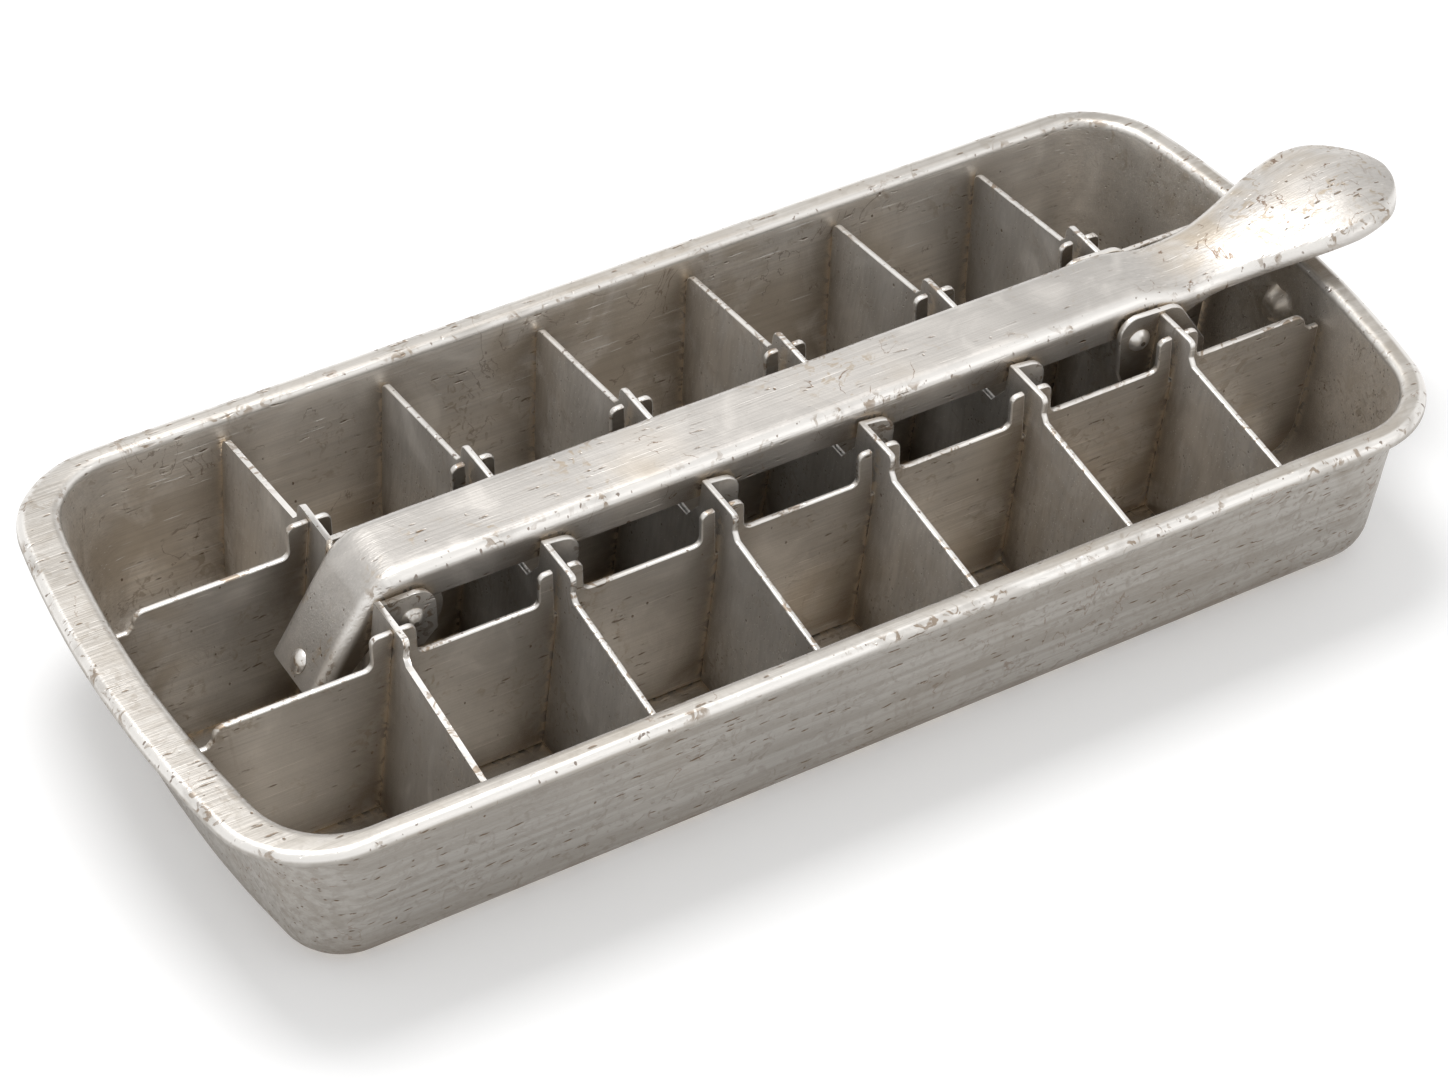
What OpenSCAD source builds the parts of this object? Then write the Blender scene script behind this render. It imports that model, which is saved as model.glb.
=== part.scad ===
// Lever ice cube tray: a drawn pan and a lift-out grid of two lengthwise dividers and six
// tilting cross dividers, broken free by a long channel lever with a spoon grip.
// X runs along the tray, from the lever's pivot end to its grip; Z is up.
// The origin is the centre of the pan's flat underside. All sizes are millimetres.

/* [Pan] */
// Length over the rim, at the middle of the bowed ends
pan_length = 270; // [262:1:280]
// Width over the rim
pan_width = 125; // [120:1:134]
// Height of the rim above the underside
pan_height = 41; // [40.5:0.5:44]
// Thickness of the pan's sheet
pan_wall = 1.2; // [0.8:0.1:1.5]
// Slope of the walls away from upright, degrees
wall_draft = 7.5; // [5:0.5:9]
// Outside radius where the walls turn into the floor
bottom_radius = 9; // [7:0.5:11]
// Width of the flat rim, from its outer edge to the inner wall
rim_width = 5.3; // [5:0.1:7]
// Extra width of the rim at the left end
end_rim_extra = 3.4; // [0:0.1:5]
// Depth of the rolled-down edge of the rim
rim_lip = 2.6; // [2.2:0.1:4]
// Inside radius of the rim's two bends
rim_bend = 0.8; // [0.4:0.1:1]
// Corner radius of the rim in plan
corner_radius = 22; // [21:0.5:30]
// Radius of the gentle bow of the two ends
end_radius = 280; // [240:5:400]
// Radius of the pressed stop on the right end wall
stop_radius = 4.1; // [2.5:0.1:4.5]
// Height of the stop above the tray's underside
stop_z = 28; // [26:0.5:31]
// How far the stop stands out from the middle of the wall
stop_depth = 3.2; // [2:0.1:4]
// Sideways place of the pressed stop
stop_y = -4; // [-8:0.5:8]

/* [Grid] */
// Thickness of every divider sheet
grid_wall = 1.3; // [1:0.1:1.5]
// Spacing of the cross dividers
cross_pitch = 35; // [33.5:0.5:35.5]
// Place of the first cross divider along the tray
first_cross_x = -83.7; // [-86:0.1:-81]
// Distance between the two lengthwise dividers, centre to centre
channel_width = 35.8; // [33:0.2:40]
// Height of the lengthwise dividers' top edge
divider_top = 37; // [36.5:0.1:39]
// Height of the tabs that guide the cross dividers
tab_top = 44.3; // [42:0.1:46]
// Width of a tab
tab_width = 9.4; // [8:0.1:11]
// Height where the lengthwise dividers step in from the end walls
ledge_height = 33; // [31:0.5:34]
// How far the left ends step in above the ledge
left_setback = 3.6; // [2:0.1:6]
// How far the right ends step in above the ledge
right_setback = 3.5; // [2:0.5:6]
// Height of the cross dividers where they meet the side walls
cross_low_top = 37; // [34:0.1:38]
// Height of the cross dividers beside the raised middle
cross_high_top = 40.2; // [38:0.1:42]
// Height of the raised middle of the cross dividers
raised_top = 45; // [44:0.1:46.4]
// Half width of the raised middle
raised_half = 22.6; // [21.5:0.1:28]
// Gap between the grid and the pan's walls
grid_gap = 0.8; // [0.6:0.1:1.5]
// Gap between the grid and the pan's floor
floor_gap = 0.5; // [0.4:0.1:1]

/* [Tilt] */
// Height of the line each cross divider tilts about
tilt_height = 33.4; // [32:0.1:34.5]
// Lean of the cross dividers with the lever down, degrees
tilt_angle = 7.3; // [5:0.1:8]
// Play around a cross divider in its slots
slot_play = 0.3; // [0.2:0.05:0.5]
// Length of the guide ears along the lever
ear_length = 7.5; // [5:0.1:9]
// Height of the lower edge of the guide ears
ear_low = 35; // [34:0.1:37]

/* [Lever] */
// Half width of the lever's channel
lever_half = 9.3; // [8:0.1:9.5]
// Thickness of the lever's sheet
lever_wall = 1.3; // [1:0.1:1.6]
// Height of the lever's flat top
lever_top = 48.3; // [47.6:0.1:50]
// Depth of the channel's sides
flange_depth = 7.8; // [6:0.1:8.2]
// Outside radius of the channel's folds
fold_radius = 3; // [2:0.1:4]
// Outside radius of the bend at the pivot end
bend_radius = 11; // [10.5:0.1:13]
// Angle of the turned-down leg, degrees
bend_angle = 58; // [50:1:60]
// Length of the turned-down leg
leg_length = 22; // [18:0.5:23]
// Depth of the channel's sides at the end of the leg
leg_flange = 3.2; // [2:0.1:5]
// Gap between the lever's sides and the ears
ear_gap = 0.7; // [0.5:0.1:1.2]
// Place along the tray where the neck of the grip begins
neck_x = 88; // [84:1:96]
// How far the lever dips at the neck
neck_dip = 2.5; // [0:0.1:3]
// Place of the grip's tip along the tray
tip_x = 155; // [150:1:165]
// Half width of the grip
grip_half = 15.5; // [12:0.5:17]
// How far the grip rises above the lever
grip_rise = 4.4; // [1:0.1:5]
// How far the tip turns down again
tip_dip = 1.2; // [0:0.1:2]
// Extra height of the grip's domed middle
grip_crown = 2; // [0.5:0.1:3]
// Depth of the grip's turned-down lip
grip_lip = 3.2; // [2.6:0.1:5]

/* [Pivot and latch] */
// Place of the pivot along the tray
pivot_x = -75.7; // [-77:0.1:-75]
// Height of the pivot
pivot_z = 38.5; // [38:0.1:39.5]
// Radius of the pivot rivets' shanks
pivot_radius = 1.7; // [1.5:0.1:2.2]
// Running clearance of the pivot, on the radius
running_fit = 0.05; // [0.03:0.01:0.08]
// Radius of the pivot rivets' round heads
pivot_head = 2.7; // [2.4:0.1:4]
// Reach of the pivot ears past the pivot
ear_reach = 5; // [4:0.1:6]
// Reach of the pivot ears below the pivot
ear_drop = 7; // [6:0.1:8]
// Height of the round heads of rivets and studs
head_height = 1.6; // [1:0.1:2]
// How far the lever lifts, degrees
lever_lift = 25; // [20:1:26]
// Radius of the lever's lobes round the pivot
lobe_radius = 7.4; // [6:0.1:7.5]
// Radius of the drive pin
pin_radius = 1.2; // [1:0.1:1.5]
// Radius of the latch studs' shanks
stud_radius = 1.6; // [1.2:0.1:2]
// Radius of the latch studs' heads
stud_head = 2.6; // [2.2:0.1:3]
// Place of the latch studs before the last cross divider
stud_back = 3.9; // [3.6:0.1:5]
// Height of the latch studs
stud_z = 40; // [38.5:0.1:41]
// Height of the lower edge of the latch cheeks
cheek_low = 29.5; // [28:0.5:31]
// Reach of the latch cheeks past the last cross divider
cheek_reach = 12.6; // [10:0.1:14]
// Radius of the heel rivet's head
heel_head = 2.5; // [2:0.1:3.5]
// Radius of the heel rivet's shank
heel_radius = 1.5; // [1:0.1:1.8]
// Distance of the heel rivet from the end of the leg
heel_inset = 3.6; // [3.5:0.1:6]

/* [Slide bar] */
// Thickness of the slide bar
bar_wall = 1.6; // [1.2:0.1:2.4]
// Height of the slide bar's lower edge
bar_low = 6; // [5:0.5:7]
// Height of the slide bar's upper edge
bar_high = 13; // [12:0.5:14]
// Depth of the slide bar's notches
notch_depth = 2.4; // [2:0.1:3]
// Width of the slide bar's upright arm
arm_width = 8; // [7:0.5:9]

/* [Hidden] */
$fn = 64;

// ---- outlines -------------------------------------------------------------------------
// Points of an arc about c, from angle a to angle b
function arc(c, r, a, b, n = 6) =
    [for (i = [0:n]) c + r * [cos(a + (b - a) * i / n), sin(a + (b - a) * i / n)]];
// The same points mirrored across the second axis, in reverse order
function mirrored(points) = [for (i = [len(points) - 1:-1:0]) [-points[i][0], points[i][1]]];
// Smooth step from 0 to 1
function ease(u) = let (v = min(1, max(0, u))) v * v * (3 - 2 * v);

// ---- pan: derived ---------------------------------------------------------------------
draft_tan = tan(wall_draft);
draft_cos = cos(wall_draft);
// Plan of the rim: corner centres, and the angle at which a bowed end meets a corner
corner_y = pan_width / 2 - corner_radius;
end_centre_x = pan_length / 2 - end_radius;
corner_x = end_centre_x + sqrt(pow(end_radius - corner_radius, 2) - corner_y * corner_y);
corner_turn = atan2(corner_y, corner_x - end_centre_x);
// Distance of the walls from the rim's outer edge at a height
function inner_wall(z) = rim_width + (pan_height - z) * draft_tan;
function outer_wall(z) = inner_wall(z) - pan_wall / draft_cos;
rim_bend_z = pan_height - pan_wall - rim_bend;
floor_edge = outer_wall(bottom_radius) + bottom_radius / draft_cos;
// The tub is set in at the left end, which leaves a wider rim there
wall_end = pan_length / 2 - rim_width;
function set_in(x, inward) = x + (inward > pan_wall + rim_bend + 0.1
    ? end_rim_extra * (wall_end - x) / 2 / wall_end : 0);
// Section of the sheet, from the floor's upper face over the rim to its lower face:
// distance in from the rim's edge, and height
pan_section = let (
        roll = [pan_wall + rim_bend, rim_bend_z],
        shoulder = [outer_wall(rim_bend_z) - rim_bend / draft_cos, rim_bend_z],
        foot = [floor_edge, bottom_radius])
    concat(arc(foot, bottom_radius - pan_wall, 270, 180 + wall_draft),
        arc(shoulder, pan_wall + rim_bend, wall_draft, 90, 4),
        arc(roll, pan_wall + rim_bend, 90, 180, 4),
        [[0, pan_height - rim_lip], [pan_wall, pan_height - rim_lip]],
        arc(roll, rim_bend, 180, 90, 4),
        arc(shoulder, rim_bend, 90, wall_draft, 4),
        arc(foot, bottom_radius, 180 + wall_draft, 270));

// Stations round the rim: turning centre, radius of the rim's edge, direction outwards
function rim_arc(x, y, r, from, to, n) =
    [for (i = [0:n - 1]) [x, y, r, from + (to - from) * i / n]];
rim_stations = concat(
    rim_arc(end_centre_x, 0, end_radius, -corner_turn, corner_turn, 8),
    rim_arc(corner_x, corner_y, corner_radius, corner_turn, 90, 10),
    [[corner_x, corner_y, corner_radius, 90]],
    rim_arc(-corner_x, corner_y, corner_radius, 90, 180 - corner_turn, 10),
    rim_arc(-end_centre_x, 0, end_radius, 180 - corner_turn, 180 + corner_turn, 8),
    rim_arc(-corner_x, -corner_y, corner_radius, 180 + corner_turn, 270, 10),
    [[-corner_x, -corner_y, corner_radius, 270]],
    rim_arc(corner_x, -corner_y, corner_radius, 270, 360 - corner_turn, 10));

// The drawn sheet: the section carried round the rim, closed by the floor's two faces
module pan_sheet() {
    n = len(pan_section);
    count = len(rim_stations);
    polyhedron(
        points = [for (s = rim_stations, p = pan_section)
            [set_in(s[0] + (s[2] - p[0]) * cos(s[3]), p[0]), s[1] + (s[2] - p[0]) * sin(s[3]),
             p[1]]],
        faces = concat(
            [for (j = [0:count - 1], k = [0:n - 2]) let (a = j * n + k, b = (j + 1) % count * n + k)
                each [[a, b + 1, a + 1], [a, b, b + 1]]],
            [[for (j = [count - 1:-1:0]) j * n]],
            [[for (j = [0:count - 1]) j * n + n - 1]]));
}

// Pressed stop on the inside of the right end wall
module end_stop() {
    wall_x = pan_length / 2 - inner_wall(stop_z);
    edge = 1;
    translate([wall_x + pan_wall / 2, stop_y, stop_z]) rotate([0, -90 + wall_draft, 0])
        rotate_extrude() polygon(concat([[0, 0]], [[stop_radius, 0]],
            [for (i = [0:5]) [stop_radius - edge + edge * cos(i * 18),
                stop_depth - edge + edge * sin(i * 18)]], [[0, stop_depth]]));
}

module pan() {
    color("gainsboro") {
        pan_sheet();
        end_stop();
    }
}

// ---- grid: derived --------------------------------------------------------------------
divider_y = channel_width / 2;
grid_low = pan_wall + floor_gap;
cross_x = [for (i = [0:5]) first_cross_x + i * cross_pitch];
tilt_tan = tan(tilt_angle);
// Half thickness of a leaning sheet, measured level
lean_half = grid_wall / 2 / cos(tilt_angle);
corner_gap_r = bottom_radius - pan_wall + grid_gap;
// Reach of the grid to the end and side walls at a height
end_drop = divider_y * divider_y / 2 / end_radius;
function end_reach(z) = pan_length / 2 - end_drop - inner_wall(z) - grid_gap / draft_cos;
function side_reach(z) = pan_width / 2 - inner_wall(z) - grid_gap / draft_cos;
// Radius of the tabs' rounded shoulders and feet
tab_round = 1.6;
// Tabs stand about the middle of the leaning dividers they guide
tab_shift = (tab_top - tilt_height) * tilt_tan / 2;

// Right half of a lengthwise divider's outline, from the bottom to the ledge and the top
function divider_end(setback, shift = 0) = let (
        round_z = grid_low + corner_gap_r,
        round_x = end_reach(round_z) - corner_gap_r,
        step_x = end_reach(ledge_height) - setback,
        foot = 1.3,
        top_round = 2.4,
        points = concat(
            arc([round_x, round_z], corner_gap_r, -90, -wall_draft),
            [[end_reach(ledge_height), ledge_height], [step_x + foot, ledge_height]],
            [[step_x, ledge_height + foot]],
            arc([step_x - top_round, divider_top - top_round], top_round, 0, 90, 4)))
    [for (p = points) p - [shift, 0]];

// Rounded tab on the top edge, run from right to left
function tab(x) = let (half = tab_width / 2) concat(
    arc([x + half + tab_round, divider_top + tab_round], tab_round, 270, 180, 4),
    arc([x + half - tab_round, tab_top - tab_round], tab_round, 0, 90, 4),
    arc([x - half + tab_round, tab_top - tab_round], tab_round, 90, 180, 4),
    arc([x - half - tab_round, divider_top + tab_round], tab_round, 0, -90, 4));

// Slot in the lengthwise dividers: close round the fixed divider, a wedge round the others,
// so that they can swing from their lean to upright
module tab_slot(x, swing) {
    play = swing ? slot_play : 0.05;
    low = tilt_height - slot_play / 2;
    rise = tab_top + 1 - low;
    lean = (tab_top + 1 - tilt_height) * tilt_tan;
    left_top = swing ? 0 : lean;
    translate([x, 0]) polygon([
        [-lean_half - play, low], [lean_half + play, low],
        [lean + lean_half + play, low + rise], [left_top - lean_half - play, low + rise]]);
}

module lengthwise_divider(y) {
    color("silver") translate([0, y + grid_wall / 2, 0]) rotate([90, 0, 0])
        linear_extrude(grid_wall) difference() {
            polygon(concat(divider_end(right_setback),
                [for (i = [5:-1:0]) each tab(cross_x[i] + tab_shift)],
                mirrored(divider_end(left_setback, end_rim_extra))));
            for (i = [0:5]) tab_slot(cross_x[i], i > 0);
        }
}

module lengthwise_divider_front() { lengthwise_divider(-divider_y); }
module lengthwise_divider_rear() { lengthwise_divider(divider_y); }

// ---- cross dividers -------------------------------------------------------------------
ear_inner = lever_half + ear_gap;
ear_outer = ear_inner + grid_wall;
leg_slot = lever_half - lever_wall - 0.5;
leg_slot_low = 15;
notch_low = tilt_height + 0.8;
notch_break = notch_low + 4.6;

// Half of a cross divider's outline (sideways, up); notch is the half width of the opening
function cross_half(notch) = let (
        round_z = grid_low + corner_gap_r,
        round_y = side_reach(round_z) - corner_gap_r,
        end_round = 1.8,
        end_y = side_reach(cross_low_top) - end_round,
        step_round = 1.4)
    concat(arc([round_y, round_z], corner_gap_r, -90, -wall_draft),
        arc([end_y, cross_low_top - end_round], end_round, 0, 80, 4),
        [[raised_half + step_round, cross_high_top]],
        [[raised_half, cross_high_top + step_round]],
        arc([raised_half - step_round, raised_top - step_round], step_round, 0, 90, 4),
        [[notch, raised_top], [notch, notch_break], [notch - 3.6, notch_low]]);

// Flat blank of a cross divider, standing upright on its tilting line. Slots from above are
// given as [nearer side, width, height of the bottom] and cut on both sides of the middle.
module cross_blank(notch, slots, window = true) {
    slot_half = grid_wall / 2 + slot_play / 2;
    rotate([90, 0, 90]) translate([0, 0, -grid_wall / 2]) linear_extrude(grid_wall) difference() {
        polygon(concat(cross_half(notch), mirrored(cross_half(notch))));
        for (s = [-1, 1])
            translate([s * divider_y - slot_half, -1])
                square([2 * slot_half, tilt_height + slot_play / 2 + 1]);
        // Window for the slide bar
        if (window) translate([-bar_wall / 2 - slot_play, bar_low - 2 * slot_play])
            square([bar_wall + 2 * slot_play, window_high - bar_low + 2 * slot_play]);
        for (m = [0, 1], slot = slots) mirror([m, 0])
            translate([slot[0], slot[2]]) square([slot[1], raised_top]);
    }
}

// Leans what stands on the tilting line of divider i
module leaning(i) {
    translate([cross_x[i], 0, tilt_height]) rotate([0, tilt_angle, 0])
        translate([0, 0, -tilt_height]) children();
}

// Guide ear bent along the lever, seen from the side
module guide_ear() {
    r = 3.6;
    polygon(concat([[-grid_wall / 2, ear_low]], [[ear_length - 1.5, ear_low]],
        [[ear_length, ear_low + 1.5]],
        arc([ear_length - r, raised_top - r], r, 0, 90, 5), [[-grid_wall / 2, raised_top]]));
}

// Places a side-on outline on both sides of the lever
module both_sides(inner, wall) {
    for (s = [inner, -inner - wall])
        translate([0, s + wall, 0]) rotate([90, 0, 0]) linear_extrude(wall) children();
}

module plain_cross_divider(i) {
    color("lightgray") leaning(i) {
        cross_blank(ear_inner, []);
        both_sides(ear_inner, grid_wall) guide_ear();
    }
}

// The first cross divider stands fast in the grid and its two large ears carry the pivot
module pivot_ear() {
    low = pivot_z - ear_drop;
    high = raised_top - 0.4;
    right = pivot_x + ear_reach;
    r = 4.2;
    foot_x = cross_x[0] + (low - tilt_height) * tilt_tan;
    head_x = cross_x[0] + (high - tilt_height) * tilt_tan;
    difference() {
        polygon(concat([[foot_x, low], [right - 3, low], [right, low + 3]],
            arc([right - r, high - r], r, 0, 90, 6), [[head_x, high]]));
        translate([pivot_x, pivot_z]) circle(r = pivot_radius + running_fit);
    }
}

module cross_divider_1() {
    color("lightgray") {
        // The sides of the lever's leg swing down into two slots
        leaning(0) cross_blank(ear_inner, [[leg_slot, ear_inner - leg_slot, leg_slot_low]],
            window = false);
        both_sides(ear_inner, grid_wall) pivot_ear();
    }
}

module cross_divider_2() { plain_cross_divider(1); }
module cross_divider_3() { plain_cross_divider(2); }
module cross_divider_4() { plain_cross_divider(3); }
module cross_divider_5() { plain_cross_divider(4); }
module cross_divider_6() {
    // The latch cheeks stand in two slots
    color("lightgray") leaning(5)
        cross_blank(ear_outer, [[ear_inner, grid_wall, cheek_low - slot_play / 2]]);
}

// ---- latch ----------------------------------------------------------------------------
cheek_front = stud_back + 4.7;
cheek_top = stud_z + 6;

// Shield-shaped cheek, seen from the side, about the last cross divider's tilting line
module cheek_outline() {
    x = cross_x[5];
    r = 4.4;
    shoulder = cheek_low + 3.5;
    difference() {
        polygon(concat(
            [[x - cheek_front + 1.4, cheek_low], [x - cheek_front + 0.2, shoulder]],
            arc([x - cheek_front + r, cheek_top - r], r, 180, 100, 6),
            arc([x + cheek_reach / 4, cheek_top - r - 0.5], r, 80, 25, 4),
            [[x + cheek_reach, shoulder + 1], [x + cheek_reach, cheek_low]]));
        translate([x - stud_back, stud_z]) circle(r = stud_radius);
    }
}

module latch_cheek(inner) {
    color("silver") translate([0, inner + grid_wall, 0]) rotate([90, 0, 0])
        linear_extrude(grid_wall) cheek_outline();
}

module latch_cheek_front() { latch_cheek(-ear_outer); }
module latch_cheek_rear() { latch_cheek(ear_inner); }

// Outline of a domed head, for revolving: radius across, height up
function dome(r, h) = let (ball = (r * r + h * h) / 2 / h, half = asin(r / ball))
    [for (i = [6:-1:0]) [ball * sin(half * i / 6), ball * cos(half * i / 6) - ball + h]];

// Round-headed rivet: head outwards along +Z, shank down to -length, set tail below
module rivet(head, height, shank, length, tail = 0) {
    rotate_extrude() polygon(concat([[0, -length]], [[shank, -length]], [[shank, 0]],
        [[head, 0]], dome(head, height)));
    if (tail > 0) translate([0, 0, -length]) mirror([0, 0, 1])
        rotate_extrude() polygon(concat([[0, 0]], [[tail, 0]], dome(tail, height / 2)));
}

// The domed studs sit in the cheeks and stop just short of the lever's sides
module latch_studs() {
    color("gray") for (s = [-1, 1])
        translate([cross_x[5] - stud_back, s * ear_outer, stud_z]) rotate([-s * 90, 0, 0])
            rivet(stud_head, head_height, stud_radius, grid_wall + ear_gap - slot_play);
}

// ---- lever ----------------------------------------------------------------------------
bend_z = lever_top - bend_radius;
// The bar's travel brings the cross dividers from their lean to upright
drive_height = bar_high - notch_depth / 2;
travel = (tilt_height - drive_height) * sin(tilt_angle);
drive_arm = travel / sin(lever_lift);
pin_z = pivot_z - drive_arm;

// The lever is one bent sheet: rings of points along its run, for the outer and inner skin.
// Station: place along the tray, height of the flat top, pitch, turn round the grip's tip,
// depth of the channel's sides
bend_steps = 14;
neck_steps = 15;
tip_steps = 7;
grip_turn_x = tip_x - grip_half * 1.1;
function leg_station(along, pitch, depth) = [
    pivot_x - bend_radius * sin(pitch) - along * cos(pitch),
    bend_z + bend_radius * cos(pitch) - along * sin(pitch), pitch, 0, depth];
stations = concat(
    [leg_station(leg_length, bend_angle, leg_flange)],
    [for (i = [bend_steps:-1:0]) leg_station(0, bend_angle * i / bend_steps, flange_depth)],
    [for (i = [0:neck_steps])
        [neck_x + (grip_turn_x - neck_x) * i / neck_steps, lever_top, 0, 0, flange_depth]],
    [for (i = [1:tip_steps]) [grip_turn_x, lever_top, 0, 86 * i / tip_steps, flange_depth]]);

// Points across the sheet at a station, this far under its outer skin
function ring(station, inset) = let (
        pitch = station[2],
        turn = station[3],
        depth = station[4],
        x = station[0] + (tip_x - grip_turn_x - inset) * sin(turn),
        u = (x - neck_x) / (tip_x - neck_x),
        widening = (station[0] - neck_x) / (tip_x - neck_x),
        half = lever_half - inset + (grip_half - lever_half) * ease((widening - 0.28) / 0.5),
        w = half * cos(turn),
        r = max((fold_radius - inset) * cos(turn), 0.1),
        top = (grip_rise + neck_dip) * ease((u - 0.2) / 0.7) - neck_dip * ease(u / 0.2)
            - tip_dip * ease((u - 0.8) / 0.2) - inset,
        crown = grip_crown * ease((u - 0.2) / 0.4) * cos(turn),
        side_depth = depth + (grip_lip - depth) * ease((u - 0.03) / 0.27),
        low = top + inset - max(side_depth, fold_radius + 0.2),
        side = [for (i = [0:5]) [w - r + r * cos(i * 18), top - r + r * sin(i * 18)]],
        across = [for (i = [1:5]) let (k = 1 - i / 3) [k * (w - r), top + crown * (1 - k * k)]],
        half_ring = concat([[w, low]], side))
    [for (p = concat(half_ring, across, mirrored(half_ring)))
        [x - p[1] * sin(pitch), p[0], station[1] + p[1] * cos(pitch)]];

module lever_sheet() {
    outer = [for (s = stations) ring(s, 0)];
    inner = [for (s = stations) ring(s, lever_wall)];
    rings = len(stations);
    n = len(outer[0]);
    base = rings * n;
    skin = [for (j = [0:rings - 2], k = [0:n - 2]) let (a = j * n + k, b = a + n)
        each [[a, b + 1, a + 1], [a, b, b + 1]]];
    lining = [for (f = skin) [base + f[0], base + f[2], base + f[1]]];
    hems = [for (j = [0:rings - 2]) let (a = j * n, b = a + n, c = a + n - 1, d = b + n - 1)
        each [[a, base + b, b], [a, base + a, base + b],
              [c, d, base + d], [c, base + d, base + c]]];
    heel = [for (k = [0:n - 2])
        each [[k, base + k + 1, base + k], [k, k + 1, base + k + 1]]];
    last = (rings - 1) * n;
    tip = concat([for (k = [1:n - 2]) [last, last + k + 1, last + k]],
        [for (k = [1:n - 2]) [base + last, base + last + k, base + last + k + 1]],
        [[last, base + last + n - 1, last + n - 1], [last, base + last, base + last + n - 1]]);
    polyhedron(points = concat([for (r = outer) each r], [for (r = inner) each r]),
        faces = concat(skin, lining, hems, heel, tip));
}

// Lobe of the channel's sides round the pivot and the drive pin
module lobe_outline() {
    translate([pivot_x, pivot_z]) circle(r = lobe_radius);
    translate([pivot_x, pin_z]) circle(r = pin_radius + pin_land);
    translate([pivot_x - pin_radius - pin_land, pin_z])
        square([2 * (pin_radius + pin_land), pivot_z - pin_z]);
}
pin_land = 1.8;

// Brings what lies at the start of the bend to its end
module at_leg() {
    translate([pivot_x, 0, bend_z]) rotate([0, -bend_angle, 0])
        translate([-pivot_x, 0, -bend_z]) children();
}

module lever() {
    color("whitesmoke") difference() {
        union() {
            lever_sheet();
            both_sides(lever_half - lever_wall, lever_wall) lobe_outline();
        }
        // Bores for the pivot rivets, the drive pin and the heel rivet
        translate([pivot_x, 0, pivot_z]) rotate([90, 0, 0])
            cylinder(h = 3 * lever_half, r = pivot_radius + running_fit, center = true);
        translate([pivot_x, 0, pin_z]) rotate([90, 0, 0])
            cylinder(h = 3 * lever_half, r = pin_radius, center = true);
        at_leg() translate([pivot_x - leg_length + heel_inset, 0, lever_top - 2 * lever_wall])
            cylinder(h = 3 * lever_wall, r = heel_radius);
    }
}

// ---- pins and rivets ------------------------------------------------------------------
module pivot_rivets() {
    color("gray") for (s = [-1, 1])
        translate([pivot_x, s * ear_outer, pivot_z]) rotate([-s * 90, 0, 0])
            rivet(pivot_head, head_height, pivot_radius, grid_wall + ear_gap + lever_wall);
}

module drive_pin() {
    color("gray") translate([pivot_x, 0, pin_z]) rotate([90, 0, 0])
        cylinder(h = 2 * lever_half, r = pin_radius, center = true);
}

module heel_rivet() {
    color("gray") at_leg()
        translate([pivot_x - leg_length + heel_inset, 0, lever_top])
            rivet(heel_head, head_height * 0.7, heel_radius, lever_wall, heel_radius + 0.7);
}

// ---- slide bar ------------------------------------------------------------------------
window_high = bar_high - notch_depth + slot_play;

module slide_bar() {
    left = pivot_x - arm_width / 2;
    right = cross_x[5] + 6;
    notch_half = lean_half + slot_play;
    color("darkgray") translate([0, bar_wall / 2, 0]) rotate([90, 0, 0])
        linear_extrude(bar_wall) difference() {
            union() {
                translate([left, bar_low]) square([right - left, bar_high - bar_low]);
                translate([left, bar_low]) square([arm_width, pin_z + 1.5 - bar_low]);
                translate([pivot_x, pin_z + 1.5]) circle(r = arm_width / 2);
            }
            for (i = [1:5]) let (x = cross_x[i] - (tilt_height - drive_height) * tilt_tan)
                translate([x - notch_half, bar_high - notch_depth])
                    square([2 * notch_half, notch_depth + 1]);
            // Upright slot for the drive pin
            for (z = [pin_z - slot_play, pin_z + slot_play + drive_arm * (1 - cos(lever_lift))])
                translate([pivot_x, z]) circle(r = pin_radius + running_fit);
            translate([pivot_x - pin_radius - running_fit, pin_z - slot_play])
                square([2 * (pin_radius + running_fit),
                        2 * slot_play + drive_arm * (1 - cos(lever_lift))]);
        }
}

pan();
lengthwise_divider_front();
lengthwise_divider_rear();
cross_divider_1();
cross_divider_2();
cross_divider_3();
cross_divider_4();
cross_divider_5();
cross_divider_6();
latch_cheek_front();
latch_cheek_rear();
latch_studs();
lever();
pivot_rivets();
drive_pin();
heel_rivet();
slide_bar();
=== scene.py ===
# %% [markdown]
# # A lever ice cube tray in worn aluminium
# The solids come packed from the CAD model and give every piece its exact place. This
# lesson dresses them: the pan and the lever are made again as smooth, slightly uneven
# sheets, the dividers and rivets get softened edges, and everything gets a worn metal finish.
# %% Load the frame
import bpy
import math
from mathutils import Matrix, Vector, noise


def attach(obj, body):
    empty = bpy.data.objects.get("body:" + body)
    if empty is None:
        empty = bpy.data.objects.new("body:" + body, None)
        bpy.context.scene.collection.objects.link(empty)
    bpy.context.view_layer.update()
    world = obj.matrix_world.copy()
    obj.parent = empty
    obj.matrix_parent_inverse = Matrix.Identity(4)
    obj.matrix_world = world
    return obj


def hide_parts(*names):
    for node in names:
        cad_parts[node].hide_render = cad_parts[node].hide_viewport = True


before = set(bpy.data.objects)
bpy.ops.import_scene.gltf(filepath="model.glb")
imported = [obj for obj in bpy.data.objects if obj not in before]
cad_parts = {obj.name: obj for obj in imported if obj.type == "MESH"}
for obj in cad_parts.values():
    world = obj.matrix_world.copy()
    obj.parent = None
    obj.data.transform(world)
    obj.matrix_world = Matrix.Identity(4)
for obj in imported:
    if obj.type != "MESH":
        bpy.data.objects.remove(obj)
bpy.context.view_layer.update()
MM = 0.001

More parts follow.
